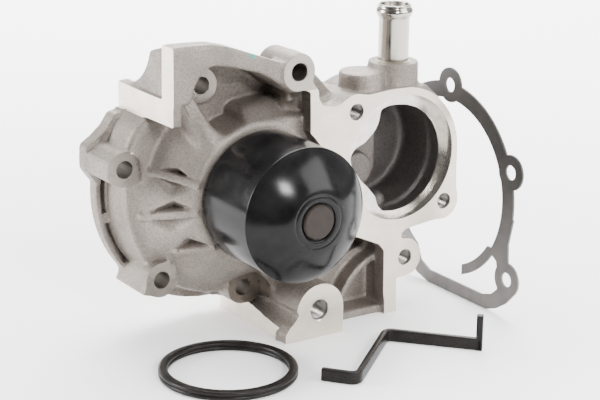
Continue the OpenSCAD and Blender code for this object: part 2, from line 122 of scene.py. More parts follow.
def plate(points, near, far, edge, corner=1.5):
    """An outline in x and z, from depth near to depth far."""
    line = rounded(points, corner)
    xs, zs = zip(*line)
    middle, half = (near + far) / 2, (far - near) / 2

    def distance(x, d, z):
        return soft_max(outline_distance(line, x, z), np.abs(d - middle) - half, edge)

    return Solid((min(xs), near, min(zs)), (max(xs), far, max(zs)), distance)


def side_plate(points, left, right, edge, corner=1.5):
    """An outline in depth and z, from x = left to x = right."""
    turned_plate = plate(points, left, right, edge, corner)
    (near, _, bottom), (far, _, top) = turned_plate.low, turned_plate.high
    return Solid((left, near, bottom), (right, far, top), lambda x, d, z: turned_plate.distance(d, x, z))


def barrel(centre, radius, near, far, edge, taper=0):
    """A cylinder along depth. Its radius falls by taper from near to far."""
    cx, cz = centre
    middle, half = (near + far) / 2, (far - near) / 2
    slope = taper / (far - near)
    cosine = 1 / math.sqrt(1 + slope * slope)

    def distance(x, d, z):
        side = (np.sqrt((x - cx) ** 2 + (z - cz) ** 2) - radius + slope * (d - near)) * cosine
        return soft_max(side, np.abs(d - middle) - half, edge)

    return Solid((cx - radius, near, cz - radius), (cx + radius, far, cz + radius), distance)


def post(centre, radius, bottom, top, edge, taper=0):
    """A cylinder along z at (x, depth). Its radius falls by taper from bottom to top."""
    cx, cd = centre
    middle, half = (bottom + top) / 2, (top - bottom) / 2
    slope = taper / (top - bottom)

    def distance(x, d, z):
        side = np.sqrt((x - cx) ** 2 + (d - cd) ** 2) - radius + slope * (z - bottom)
        return soft_max(side, np.abs(z - middle) - half, edge)

    return Solid((cx - radius, cd - radius, bottom), (cx + radius, cd + radius, top), distance)


def bar(start, end, radius, radius_end=None):
    """A round bar between two points, each (x, depth, z)."""
    a, b = np.array(start, float), np.array(end, float)
    line = b - a
    last = radius if radius_end is None else radius_end
    size = max(radius, last)

    def distance(x, d, z):
        px, pd, pz = x - a[0], d - a[1], z - a[2]
        t = np.clip((px * line[0] + pd * line[1] + pz * line[2]) / (line @ line), 0, 1)
        gap = np.sqrt((px - t * line[0]) ** 2 + (pd - t * line[1]) ** 2 + (pz - t * line[2]) ** 2)
        return gap - (radius + (last - radius) * t)

    return Solid(tuple(np.minimum(a, b) - size), tuple(np.maximum(a, b) + size), distance)


def wedge(planes, low, high, edge):
    """A convex solid from planes, each (point, outward direction), in (x, depth, z)."""
    faces = [(np.array(p, float), unit(np.array(n, float))) for p, n in planes]

    def distance(x, d, z):
        total = None
        for point, normal in faces:
            side = (x - point[0]) * normal[0] + (d - point[1]) * normal[1] + (z - point[2]) * normal[2]
            total = side if total is None else soft_max(total, side, edge)
        return total

    return Solid(low, high, distance)


class Casting:
    """A block of metal on a grid. Shapes are added and cored out with fillets, then machined sharp."""

    margin = 7       # how far round a shape its fillets reach
    halvings = 12    # steps that find where the surface crosses a grid edge
    damping = 0.06   # holds a point near the middle of its crossings where its cell is flat
    slack = 0.15     # how far a point may lie outside its cell, in cells

    def __init__(self, low, high, step):
        self.step = step
        self.axes = [np.arange(a, b + step, step, dtype=np.float32) for a, b in zip(low, high)]
        self.metal = np.full([len(a) for a in self.axes], FAR, np.float32)
        self.tools = []

    def part(self, solid, margin):
        """The slices of the grid round a solid, and the coordinates in them."""
        cut = []
        for axis, low, high in zip(self.axes, solid.low, solid.high):
            first = max(int(np.searchsorted(axis, low - margin)) - 1, 0)
            last = min(int(np.searchsorted(axis, high + margin)) + 1, len(axis))
            cut.append(slice(first, last))
        x = self.axes[0][cut[0]][:, None, None]
        d = self.axes[1][cut[1]][None, :, None]
        z = self.axes[2][cut[2]][None, None, :]
        return tuple(cut), (x, d, z)

    def add(self, solid, fillet):
        cut, place = self.part(solid, self.margin)
        self.metal[cut] = soft_min(self.metal[cut], solid.distance(*place).astype(np.float32), fillet)

    def core(self, solid, edge):
        """Takes a shape out of the casting, as a sand core does, with a rounded edge."""
        cut, place = self.part(solid, self.margin)
        self.metal[cut] = soft_max(self.metal[cut], -solid.distance(*place).astype(np.float32), edge)

    def machine(self, solid, finish):
        """Cuts a shape out with sharp edges, after all casting. Its faces take the named finish."""
        self.tools.append((solid, finish))

    def tool_field(self):
        field = np.full(self.metal.shape, -FAR, np.float32)
        for solid, _ in self.tools:
            cut, place = self.part(solid, 3 * self.step)
            field[cut] = np.maximum(field[cut], -solid.distance(*place).astype(np.float32))
        return field

    def tool_at(self, points):
        """The greatest cut at each point, and which tool makes it."""
        best = np.full(len(points), -FAR)
        which = np.zeros(len(points), int)
        for i, (solid, _) in enumerate(self.tools):
            near = np.all((points > np.array(solid.low) - 3 * self.step)
                          & (points < np.array(solid.high) + 3 * self.step), axis=1)
            if not near.any():
                continue
            value = -solid.distance(*points[near].T)
            rows = np.flatnonzero(near)
            better = value > best[rows]
            best[rows[better]] = value[better]
            which[rows[better]] = i
        return best, which

    def tool_slope(self, points, which):
        """The outward direction of the machined face at each point."""
        slope = np.zeros_like(points)
        e = 0.02
        for i in np.unique(which):
            rows = which == i
            distance = self.tools[i][0].distance
            for a in range(3):
                step = np.zeros(3)
                step[a] = e
                slope[rows, a] = -(distance(*(points[rows] + step).T) - distance(*(points[rows] - step).T))
        return slope / np.maximum(np.linalg.norm(slope, axis=1, keepdims=True), 1e-9)

    def surface(self):
        """Dual contouring: (points, quads, tool number of each quad or -1 where the face is as cast)."""
        tool = self.tool_field()
        solid = np.maximum(self.metal, tool)
        shape = np.array(solid.shape)
        gradient = np.gradient(self.metal, self.step)
        origin = np.array([a[0] for a in self.axes], float)
        places, normals, labels, cells = [], [], [], []
        for a in range(3):
            lead = [slice(None)] * 3
            lead[a] = slice(0, -1)
            tail = [slice(None)] * 3
            tail[a] = slice(1, None)
            inside0, inside1 = solid[tuple(lead)] < 0, solid[tuple(tail)] < 0
            at = np.argwhere(inside0 != inside1)
            others = [b for b in range(3) if b != a]
            whole = np.all((at[:, others] > 0) & (at[:, others] < shape[others] - 1), axis=1)
            at = at[whole]
            step = np.zeros(3, int)
            step[a] = 1
            i0, i1 = tuple(at.T), tuple((at + step).T)
            rising = solid[i0] < 0
            m0, m1 = self.metal[i0].astype(float), self.metal[i1].astype(float)
            start = origin + at * self.step
            low, high = np.zeros(len(at)), np.ones(len(at))
            for _ in range(self.halvings):
                t = (low + high) / 2
                points = start + t[:, None] * step * self.step
                cut, which = self.tool_at(points)
                value = np.maximum(m0 + t * (m1 - m0), cut)
                before = (value < 0) == rising
                low = np.where(before, t, low)
                high = np.where(before, high, t)
            t = (low + high) / 2
            points = start + t[:, None] * step * self.step
            cut, which = self.tool_at(points)
            machined = cut > m0 + t * (m1 - m0)
            slope = np.stack([g[i0] * (1 - t) + g[i1] * t for g in gradient], axis=1).astype(float)
            slope /= np.maximum(np.linalg.norm(slope, axis=1, keepdims=True), 1e-9)
            if machined.any():
                slope[machined] = self.tool_slope(points[machined], which[machined])
            b, c = others
            eb, ec = np.zeros(3, int), np.zeros(3, int)
            eb[b], ec[c] = 1, 1
            ring = [at, at - eb, at - eb - ec, at - ec]
            if a == 1:
                ring = ring[::-1]
            ids = np.stack([np.ravel_multi_index(tuple(r.T), solid.shape) for r in ring], axis=1)
            ids[~rising] = ids[~rising][:, ::-1]
            places.append(points)
            normals.append(slope)
            labels.append(np.where(machined, which, -1))
            cells.append(ids)
        places, normals = np.concatenate(places), np.concatenate(normals)
        labels, cells = np.concatenate(labels), np.concatenate(cells)
        used, quads = np.unique(cells, return_inverse=True)
        quads = quads.reshape(cells.shape)
        count = len(used)
        owner = quads.ravel()
        p, n = np.repeat(places, 4, axis=0), np.repeat(normals, 4, axis=0)
        total = np.bincount(owner, minlength=count).astype(float)
        mean = np.stack([np.bincount(owner, p[:, i], count) for i in range(3)], axis=1) / total[:, None]
        offset = np.einsum("ij,ij->i", n, p - mean[owner])
        matrix = np.zeros((count, 3, 3))
        right = np.zeros((count, 3))
        for i in range(3):
            right[:, i] = np.bincount(owner, n[:, i] * offset, count)
            for j in range(3):
                matrix[:, i, j] = np.bincount(owner, n[:, i] * n[:, j], count)
        matrix += np.eye(3) * self.damping
        shift = np.linalg.solve(matrix, right[:, :, None])[:, :, 0]
        corner = origin + np.stack(np.unravel_index(used, solid.shape), axis=1) * self.step
        points = np.clip(mean + shift, corner - self.slack * self.step, corner + (1 + self.slack) * self.step)
        return points, quads, labels


# ---------------------------------------------------------------- meshes

def put(name, data):
    """A new object in the scene."""
    made = bpy.data.objects.new(name, data)
    bpy.context.scene.collection.objects.link(made)
    return made


def make_piece(mesh, sharp, body, slot, *materials, node=None):
    """A piece with edges crisp above an angle. It rides on a body, and may replace a CAD node."""
    crease(mesh, sharp)
    piece = put(mesh.name, mesh)
    for m in materials:
        mesh.materials.append(m)
    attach(piece, body)
    if node:
        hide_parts(node)


def crease(mesh, degrees):
    """Smooth faces, with the edges sharper than this angle left crisp."""
    work = bmesh.new()
    work.from_mesh(mesh)
    work.normal_update()
    limit = math.radians(degrees)
    for edge in work.edges:
        edge.smooth = len(edge.link_faces) == 2 and edge.calc_face_angle(0) < limit
    for face in work.faces:
        face.smooth = True
    work.to_mesh(mesh)
    work.free()


def mesh_from(name, points, faces):
    mesh = bpy.data.meshes.new(name)
    mesh.from_pydata([tuple(p) for p in points], [], [tuple(f) for f in faces])
    mesh.update()
    return mesh


def skin(rows, count, closed, first=0):
    """Faces between rows that are loops of count points; closed joins the last row to the first one."""
    faces = []
    for i in range(rows if closed else rows - 1):
        a, b = first + i * count, first + (i + 1) % rows * count
        for k in range(count):
            m = (k + 1) % count
            faces.append((a + k, a + m, b + m, b + k))
    return faces


def lathe(name, profile, steps, place):
    """Turns a closed profile of (radius, distance along the axis). Place gives a point's (x, y, z)."""
    points = []
    for i in range(steps):
        a = 2 * math.pi * i / steps
        for radius, along in profile:
            points.append([v * MM for v in place(radius * math.cos(a), radius * math.sin(a), along)])
    mesh = mesh_from(name, points, skin(steps, len(profile), True))
    tidy(mesh)
    return mesh


def turned(name, profile, steps, centre=(0, 0)):
    """Turns a closed profile of (radius, depth) round an axis along y."""
    return lathe(name, profile, steps, lambda u, v, depth: (centre[0] + u, -depth, centre[1] + v))


def standing(name, profile, centre, steps=96):
    """Turns a closed profile of (radius, height) round an upright axis at (x, depth)."""
    return lathe(name, profile, steps, lambda u, v, height: (centre[0] + u, v - centre[1], height))


def tidy(mesh):
    """Joins doubled points and turns all faces outwards."""
    work = bmesh.new()
    work.from_mesh(mesh)
    bmesh.ops.remove_doubles(work, verts=work.verts, dist=1e-7)
    bmesh.ops.recalc_face_normals(work, faces=work.faces)
    work.to_mesh(mesh)
    work.free()


# ---------------------------------------------------------------- materials

def shader(name, color, metallic, roughness, **sockets):
    """A material with a Principled shader: (material, node tree, shader)."""
    material = bpy.data.materials.new(name)
    material.use_nodes = True
    tree = material.node_tree
    main = tree.nodes["Principled BSDF"]
    main.inputs["Base Color"].default_value = (*color, 1)
    main.inputs["Metallic"].default_value = metallic
    main.inputs["Roughness"].default_value = roughness
    for key, value in sockets.items():
        main.inputs[key.replace("_", " ")].default_value = value
    return material, tree, main


def add_node(tree, kind, inputs, out=0, **settings):
    """Adds a shader node and gives one of its outputs. Inputs are (socket, value or other output)."""
    made = tree.nodes.new("ShaderNode" + kind)
    for key, value in settings.items():
        setattr(made, key, value)
    for key, value in inputs:
        if isinstance(value, bpy.types.NodeSocket):
            tree.links.new(value, made.inputs[key])
        else:
            made.inputs[key].default_value = value
    return made.outputs[out]


def coordinates(tree, scale=(1, 1, 1)):
    """Object coordinates in millimetres, stretched by scale."""
    source = add_node(tree, "TexCoord", [], "Object")
    return add_node(tree, "Mapping", [("Scale", [1000 * s for s in scale]), ("Vector", source)])


def noise(tree, vector, scale, detail, rough=0.55):
    inputs = [("Scale", scale), ("Detail", detail), ("Roughness", rough), ("Vector", vector)]
    return add_node(tree, "TexNoise", inputs, "Fac")


def ramp(tree, value, stops):
    """A colour ramp with (position, colour) stops. A grey can be given as one number."""
    node = tree.nodes.new("ShaderNodeValToRGB")
    elements = node.color_ramp.elements
    while len(elements) < len(stops):
        elements.new(0.5)
    for element, (position, color) in zip(elements, stops):
        element.position = position
        element.color = (color, color, color, 1) if isinstance(color, (int, float)) else (*color, 1)
    tree.links.new(value, node.inputs["Fac"])
    return node.outputs["Color"]


def mix(tree, factor, a, b, kind="MIX"):
    """Mixes two colours. Each is a socket or a colour."""
    inputs = [(key, (*value, 1) if isinstance(value, tuple) else value)
              for key, value in ((0, factor), (6, a), (7, b))]
    return add_node(tree, "Mix", inputs, 2, data_type="RGBA", blend_type=kind)


def bump(tree, main, height, strength, distance, after=None):
    """Adds a bump to the shader, on top of an earlier one if given."""
    inputs = [("Strength", strength), ("Distance", distance * MM), ("Height", height)]
    if after is not None:
        inputs.append(("Normal", after))
    normal = add_node(tree, "Bump", inputs)
    tree.links.new(normal, main.inputs["Normal"])
    return normal


def between(tree, pattern, low, high):
    """From one colour or grey to another, over the middle of a pattern."""
    return ramp(tree, pattern, [(0.3, low), (0.7, high)])


def polish_by(tree, main, pattern, low, high):
    """Roughness from low to high over a pattern."""
    tree.links.new(between(tree, pattern, low, high), main.inputs["Roughness"])


def shades(color, *factors):
    return [tuple(min(c * f, 1) for c in color) for f in factors]


def scaled(tree, value, factor):
    return add_node(tree, "Math", [(0, value), (1, factor)], operation="MULTIPLY")


def distance_to(tree, centre, flat=True):
    """Distance in millimetres from a line along y through (x, z), or from a point (x, y, z)."""
    source = coordinates(tree, (1, 0, 1) if flat else (1, 1, 1))
    point = (centre[0], 0, centre[1]) if flat else centre
    return add_node(tree, "VectorMath", [(0, source), (1, point)], "Value", operation="DISTANCE")


def cast_aluminium(name, color=(0.230, 0.201, 0.177), dot=None):
    """Sand-cast aluminium: a fine pebbled skin with darker pores and soft patches, and a dab of paint."""
    material, tree, main = shader(name, color, 0.58, 0.5)
    vector = coordinates(tree)
    patches = noise(tree, vector, 0.06, 4)
    pebbles = noise(tree, vector, 1.1, 3, 0.62)
    fine = noise(tree, vector, 3.0, 2)
    base = between(tree, patches, *shades(color, 0.80, 1.14))
    speck = ramp(tree, pebbles, [(0.30, 0.66), (0.50, 1.0), (0.72, 1.16)])
    tint = mix(tree, 0.9, base, speck, "MULTIPLY")
    if dot:
        near = ramp(tree, scaled(tree, distance_to(tree, dot, False), 0.1), [(0.13, 1.0), (0.19, 0.0)])
        tint = mix(tree, near, tint, (0.04, 0.30, 0.22))
    tree.links.new(tint, main.inputs["Base Color"])
    polish_by(tree, main, pebbles, 0.64, 0.42)
    first = bump(tree, main, pebbles, 0.7, 0.32)
    bump(tree, main, fine, 0.3, 0.12, first)
    return material


def milled(name, color=(0.70, 0.63, 0.545), roughness=0.36, lay=(0.05, 1, 1.6), metallic=0.7):
    """Machined aluminium: bright, with fine tool marks along one direction."""
    material, tree, main = shader(name, color, metallic, roughness)
    marks = noise(tree, coordinates(tree, lay), 2.2, 2, 0.4)
    cloud = noise(tree, coordinates(tree), 0.08, 3)
    base = between(tree, cloud, *shades(color, 0.9, 1.05))
    fine = between(tree, marks, 0.93, 1.04)
    tree.links.new(mix(tree, 1.0, base, fine, "MULTIPLY"), main.inputs["Base Color"])
    polish_by(tree, main, marks, roughness * 0.85, roughness * 1.2)
    bump(tree, main, marks, 0.12, 0.05)
    return material


def faced(name, color, roughness, centre, rings=0.55, metallic=0.9, **sockets):
    """Metal turned or spot-faced round an axis along y: fine rings round the centre (x, z)."""
    material, tree, main = shader(name, color, metallic, roughness, **sockets)
    turns = scaled(tree, distance_to(tree, centre), 2 * math.pi / rings)
    wave = add_node(tree, "Math", [(0, turns)], operation="SINE")
    cloud = noise(tree, coordinates(tree), 0.2, 3)
    lines = ramp(tree, wave, [(0.0, 0.86), (0.9, 1.08)])
    base = between(tree, cloud, *shades(color, 0.85, 1.12))
    tree.links.new(mix(tree, 0.8, base, lines, "MULTIPLY"), main.inputs["Base Color"])
    polish_by(tree, main, cloud, roughness * 0.85, roughness * 1.2)
    bump(tree, main, wave, 0.15, 0.03)
    return material


def plain_metal(name, color, roughness, grain=3.0, depth=0.05, spread=0.12):
    """Drawn, ground or plated metal with faint cloudy wear."""
    material, tree, main = shader(name, color, 1.0, roughness)
    vector = coordinates(tree)
    cloud = noise(tree, vector, 0.25, 4)
    fine = noise(tree, vector, grain, 2)
    base = between(tree, cloud, *shades(color, 1 - spread, 1 + spread))
    tree.links.new(base, main.inputs["Base Color"])
    polish_by(tree, main, cloud, roughness * 0.8, roughness * 1.25)
    bump(tree, main, fine, 0.2, depth)
    return material


def rubber(name, color, roughness=0.42):
    """Moulded rubber with a fine matt skin and paler scuffs."""
    material, tree, main = shader(name, color, 0.0, roughness, IOR=1.24)
    vector = coordinates(tree)
    cloud = noise(tree, vector, 0.15, 4)
    fine = noise(tree, vector, 2.5, 3)
    dark, pale = shades(color, 0.75, 1.35)
    tree.links.new(ramp(tree, cloud, [(0.35, dark), (0.7, pale)]), main.inputs["Base Color"])
    polish_by(tree, main, fine, roughness * 0.8, roughness * 1.2)
    bump(tree, main, fine, 0.25, 0.06)
    return material


def black_coat(name):
    """Smooth black coating over steel, with faint orange peel and a few dull rubs."""
    material, tree, main = shader(name, (0.006, 0.006, 0.0065), 0.0, 0.18, IOR=1.24)
    vector = coordinates(tree)
    cloud = noise(tree, vector, 0.12, 4)
    fine = noise(tree, vector, 1.2, 2)
    tree.links.new(ramp(tree, cloud, [(0.3, (0.004, 0.004, 0.0045)), (0.75, (0.011, 0.0105, 0.0105))]),
                   main.inputs["Base Color"])
    polish_by(tree, main, cloud, 0.15, 0.22)
    bump(tree, main, fine, 0.06, 0.04)
    return material


def moulded(name, color, roughness):
    """Carbon, ceramic or plastic, with a fine grain."""
    material, tree, main = shader(name, color, 0.0, roughness)
    fine = noise(tree, coordinates(tree), 1.6, 4)
    tree.links.new(between(tree, fine, *shades(color, 0.78, 1.25)), main.inputs["Base Color"])
    polish_by(tree, main, fine, roughness * 0.85, roughness * 1.2)
    bump(tree, main, fine, 0.15, 0.04)
    return material


def gasket_paper(name):
    """Coated steel gasket: grey, with a soft mottle, and painted light that makes it paler near the table and
    darker higher up.
    """
    material, tree, main = shader(name, (0.11, 0.10, 0.096), 0.15, 0.5)
    vector = coordinates(tree)
    cloud = noise(tree, vector, 0.10, 4)
    fine = noise(tree, vector, 2.2, 3)
    base = between(tree, cloud, (0.066, 0.061, 0.058), (0.098, 0.091, 0.087))
    grain = between(tree, fine, 0.86, 1.1)
    height = add_node(tree, "SeparateXYZ", [(0, vector)], "Z")
    # painted light: the colour grows paler towards the table and darker higher up, for the glow off the table
    # below
    low = ramp(tree, scaled(tree, height, -0.01), [(0.05, 0.62), (0.5, 1.8)])
    tint = mix(tree, 0.9, base, grain, "MULTIPLY")
    tree.links.new(mix(tree, 1.0, tint, low, "MULTIPLY"), main.inputs["Base Color"])
    bump(tree, main, fine, 0.2, 0.05)
    return material


# ---------------------------------------------------------------- the housing casting

FACE = 52          # depth of the machined cover face
ARCH_FRONT = 51    # depths of the fronts of the arch, the block lugs and the bracket boss
LUG_FRONT = 27.6
BRACKET_FRONT = 61
TABLE = -70        # height of the table and of the lowest machined face
FLANGE = (-2.5, -1.5)   # centre of the volute's round flange
STAT = (76.6, 7.5)      # thermostat axis
POCKET_BOLT = (-18.6, 49)
BLOCK_BOLTS = [(-58.3, 15.2), (-40, -40.2), (3.8, -51.8), POCKET_BOLT]
ARCH_BOLT = (18.2, 55.7)
COVER_BOLTS = [(49.98, 33.2), (103.2, -18.2)]
CORNER_BOLT = (80.5, -43.1)
BRACKET_HOLE = (25, -56.6)
PAD_X = -46.6           # x of the upper and the lower pad
SIDE_X = 7.2
COLLAR = (79.9, 38.8)   # (x, depth) of the hose tube's collar and of the blank boss beside it
BLANK = (61.5, 39.2)


def flange_and_volute(c):
    c.add(barrel(FLANGE, 59.6, -2, 6.2, 0.5), 0)
    c.add(plate([(-67.2, 11), (-67, 22), (-61.7, 25.4), (-56.3, 30), (-52.6, 35.6), (-46.8, 36.4), (-38, 37),
                 (-38, 5), (-62, 4)], -2, 7.0, 1.0), 1.0)
    c.add(barrel(FLANGE, 56.4, -2, 21.5, 1.2, taper=4.4), 0.6)
    # cone that rises from the volute to the bearing boss, behind the pulley
    c.add(barrel((0, 0), 52.8, 19.5, 47.5, 1.6, taper=19.4), 4.0)
    c.add(barrel((0, 0), 20.5, 46, 71, 1.0), 2.0)
    # upper left wall between the first lug and the end pad
    c.add(plate([(-56.8, 23.4), (-54, 28.7), (-51.3, 33), (-47.2, 36.6), (-40, 39), (-28, 40), (-18, 20),
                 (-40, 5), (-53, 8)], 2, 26.5, 4.0, 2.5), 1.2)


def pocket(c):
    """The hollow under the arch, down to the bearing boss, and the raised block beside it."""
    c.core(plate([(16, 46), (13, 46.5), (7, 51.2), (-2, 56.4), (-16.2, 60.4), (-26.4, 62.2), (-31.4, 59.2),
                  (-34.6, 54.2), (-34, 49.5), (-29.5, 47.5), (-27.6, 44.5), (-21.6, 34.2), (-17.4, 29.8),
                  (-12, 32.4), (-6.4, 34.2), (-6.4, 37.4), (-3.4, 39.6), (8, 41.0), (17, 41.6)],
                 26, 60, 1.0, 1.6), 1.6)
    c.add(plate([(0.2, 26), (1.2, 32.6), (4, 34), (14, 34.8), (28.5, 34), (31, 24), (14, 20)],
                34, 46.2, 4.0, 2.5), 2.0)


def lugs(c):
    """The four lugs for the block bolts, the walls that carry them, and the block of the lower pad."""
    lug_r = 8.2
    for bolt in BLOCK_BOLTS:
        c.add(barrel(bolt, lug_r, -2, LUG_FRONT, 0.4), 0.8 if bolt == POCKET_BOLT else 1.4)
    c.add(plate([(-67, 10.5), (-66.6, 20.2), (-57.2, 23.4), (-50, 20), (-50, 8), (-60, 7)],
                -2, LUG_FRONT, 0.8, 2.5), 0.3)
    c.add(plate([(-50, -46), (-40, -48.8), (-31, -44), (-34, -30), (-44, -34)],
                -2, LUG_FRONT - 0.6, 1.0), 1.0)
    c.add(plate([(-6, -58.6), (9, -60), (12.5, -50), (0, -42), (-8, -50)], -2, 14, 2.0), 2.0)
    c.add(plate([(5, -66), (4, -59), (6, -50), (16, -50), (20, -66)], -2, 25.5, 1.5), 2.0)
    c.add(side_plate([(-3, -76), (-3, -63.4), (14.5, -63.2), (22, -60), (28.8, -59.4), (32, -61.2),
                      (54, -65.6), (56, -76)], SIDE_X - 2, 18, 1.0, 1.0), 2.5)


def gussets(c):
    """Three gussets on the cone, each a web with a hollow above and below it."""
    # foot and top of each web, and the tip of the hollow above it, as (x, depth, z)
    crests = [((-45.2, 28.3, 12.9), (-31.5, 48.5, 9.0), (-37.5, 37.6, 15.6)),
              ((-48.8, 24.8, -9.1), (-32.2, 48.5, -3.5), (-40.3, 38.9, 1.4)),
              ((-35.3, 32.7, -26.6), (-23.2, 48.5, -21.5), (-35.1, 40.7, -16.7))]
    half = 1.9        # half the web's thickness
    lean = 0.69       # how far the webs face forwards
    spread = 10.5     # from the web to the tip of the hollow below it
    for foot, top, tip in crests:
        a, b, upper = np.array(foot), np.array(top), np.array(tip)
        along = unit(b - a)
        centre = (a + b) / 2
        outward = unit(np.array([centre[0], 0, centre[2]])) + np.array([0, lean, 0])
        outward = unit(outward - along * (outward @ along))
        side = np.cross(along, outward)
        side *= np.sign(side[2])
        lower = centre - side * spread - outward * 0.2
        # tip, side of the web, depth of the root and edge of each hollow
        for corner, sign, depth, edge in ((upper, 1, 7.0, 0.3), (lower, -1, 4.4, 1.6)):
            root = centre - outward * depth + side * sign * half
            slope = side * sign - outward * 0.25
            planes = [(centre + side * sign * half * 0.8 + outward * 0.8, -slope)]
            for end in (a - along * 3.5, b + along * 1.5):
                floor = np.cross(corner - end, root - end)
                floor *= np.sign(floor @ outward)
                planes.append((root, -floor))
            corners = np.array([a, b, corner, root])
            c.core(wedge(planes, tuple(corners.min(0) - 2), tuple(corners.max(0) + 2), edge), 0.5)
        corners = np.array([a, b])
        web = wedge([(centre + outward * 0.9, outward),
                     (centre + side * half, side), (centre - side * half, -side),
                     (centre - outward * 9, -outward),
                     (a - along * 2, -along), (b - along * 0.4, along)],
                    tuple(corners.min(0) - 4), tuple(corners.max(0) + 4), 1.2)
        c.add(web, 0.5)


def timing_arch(c):
    outer = [(PAD_X - 1, 46.5), (PAD_X - 1, 73.2), (-38.5, 73.6), (-26.2, 73), (-18, 71), (-10.4, 68.2),
             (4.3, 62.7), (14, 59.2)]
    inner = [(20, 48), (13.5, 44.6), (7, 51.5), (-2, 57), (-16.2, 61.3), (-26.9, 63.4), (-32.6, 60),
             (-36.1, 54.2), (-37.6, 47.5)]
    c.add(plate(outer + inner, ARCH_FRONT - 10, ARCH_FRONT, 1.6, 2.0), 2.0)
    c.add(barrel(ARCH_BOLT, 8.7, 28, FACE + 1, 3.0), 2.5)
    c.add(bar((19, 42, 56), (37, 34, 43), 6.5, 5), 3.0)
    # end pad: a level leg and an upright leg, with a web between them
    c.add(side_plate([(-2, 37.2), (50.6, 38.0), (50.8, 73), (41, 73), (40.6, 49), (-2, 49)],
                     PAD_X - 1, PAD_X + 4.5, 1.0, 0.8), 1.0)
    hollow = arc((2, 74), 25, -92, -14, 9)
    c.add(side_plate([(-1, 40), (-1, 49.4)] + hollow + [(43, 73), (43, 40)],
                     PAD_X + 1.6, PAD_X + 7, 1.8), 1.5)
    # floor and wall of the pocket behind the arch
    c.add(plate([(-40, 38), (-39, 56), (-32, 63), (-22, 64.5), (-8, 61), (10, 54), (18, 44), (10, 30),
                 (-30, 30)], 18, 26, 1.5), 2.5)
    wall = plate([(-40.4, 44), (-40, 56), (-34.5, 65), (-26, 67.4), (-15, 65.5), (0, 60.4), (14, 55),
                  (22, 40), (-30, 36)], 24, ARCH_FRONT - 8, 1.5)
    space = plate([(17, 47), (13.5, 46.5), (7, 51.5), (-2, 56.6), (-16.2, 60.8), (-26.6, 62.6), (-31.6, 59.4),
                   (-35, 54.2), (-36.6, 46), (-28, 26), (18, 26)], 25.5, 60, 1.5, 2.5)

    def shell(x, d, z):
        return soft_max(wall.distance(x, d, z), -space.distance(x, d, z), 2.0)

    c.add(Solid(wall.low, wall.high, shell), 2.5)


def column_and_neck(c):
    # rounded column from the arch down to the bearing boss, and the wall behind the cover face
    c.add(bar((-33.0, 35, 48), (-20.5, 41.5, 21), 4.6, 5.2), 4.0)
    c.add(plate([(-35.5, 48), (-34.5, 42), (-26, 20), (-17, 24), (-27.2, 44.5), (-28.6, 50)],
                8, 37, 3.0), 3.0)
    c.add(plate([(17, 38), (20, 56), (30, 52), (46, 40), (40, 10), (26, 20)], 5, 40, 2.5), 3.0)


def lower_block(c):
    c.add(plate([(SIDE_X - 1, -66), (11, TABLE - 1), (76.5, TABLE - 1), (76.5, -36), (66, -16), (40, -20),
                 (6, -44)],
                -2, 26, 1.5), 2.0)
    c.add(plate([(SIDE_X - 1, -63), (SIDE_X - 1, TABLE - 1), (76.5, TABLE - 1), (76.5, -36), (66, -16),
                 (40, -20), (25, -40), (19, -52), (14, -62)], 20, 36.5, 1.5), 3.0)
    c.add(plate([(SIDE_X - 1, TABLE - 1), (38.3, TABLE - 1)] + arc((25.3, -57), 13, 0, 172, 14)
                + arc((0, -50), 15.3, -28, -55, 5) + [(SIDE_X - 1, -66)], 30, BRACKET_FRONT + 1, 0.8, 0), 2.5)
    c.add(plate([(69, TABLE - 1), (76.4, TABLE - 1), (75.4, -53), (75.4, -30), (68.4, -30)],
                30, FACE + 1, 0.8, 0.5), 2.0)
    c.add(plate([(36, TABLE - 1), (70, TABLE - 1), (70, TABLE + 3.8), (36, TABLE + 3.8)], 30, 49, 1.6), 2.5)
    outer, inner = arc((76, -70.5), 30.6, 100, 172, 10), arc((76, -70.5), 27.2, 172, 100, 10)
    c.add(plate(outer + inner, 30, 45, 1.8, 0), 2.5)
    # shoulder between the bracket boss and the third lug
    c.add(bar((4, 20, -46), (21, 31, -50), 7.5, 8.5), 5.0)
    # deep hollow between the rib, the strip and the pulley
    c.core(plate([(41, -51), (47, -46.5), (58, -41), (67.6, -37.5), (67.6, -32), (60, -29.5), (45, -25),
                  (33, -30), (33, -42)], 24.5, 60, 1.5, 2), 1.5)


def thermostat_housing(c):
    c.add(barrel(STAT, 33.9, 8, FACE - 2, 1.5), 2.0)
    face = ([(24.6, 24), (24.2, 45.6), (15.5, 50), (13.5, 56), (20, 60), (24, 52), (28.6, 46), (28.9, 42),
             (31.2, 38.5), (38.6, 37.4), (46.4, 39.8), (58, 40.6), (68, 41.4)]
            + arc(STAT, 33.9, 92, 4, 9)
            + [(110.6, -19), (108.6, -24), (105.2, -26.3), (91.4, -27.6), (80.4, -28.9), (78, -31),
               (78.4, -33.6), (84.7, -35.2), (89.6, -41), (89.4, -46.5), (86.5, -51.2), (81, -52.6),
               (75.4, -53), (75.4, -62), (69, -62), (68.4, -60), (68.1, -37.9), (64.8, -33.9),
               (51.5, -27.9), (36, -24), (24, 0)])
    rim = plate(face, FACE - 8, FACE + 1, 0.6, 0.8)
    gap = barrel((0, 0), 36, 20, 80, 0)
    c.add(Solid(rim.low, rim.high,
                lambda x, d, z: np.maximum(rim.distance(x, d, z), -gap.distance(x, d, z))), 1.5)
    for bolt in COVER_BOLTS:
        c.add(barrel(bolt, 8.4, FACE - 22, FACE + 1, 1.0), 2.5)
    c.add(barrel(CORNER_BOLT, 9.2, FACE - 19, FACE + 1, 0.8), 1.5)
    c.add(plate([(30, 36), (56, 40), (62, 20), (62, -20), (40, -30), (30, -20)], -2, 44, 2.0), 3.0)


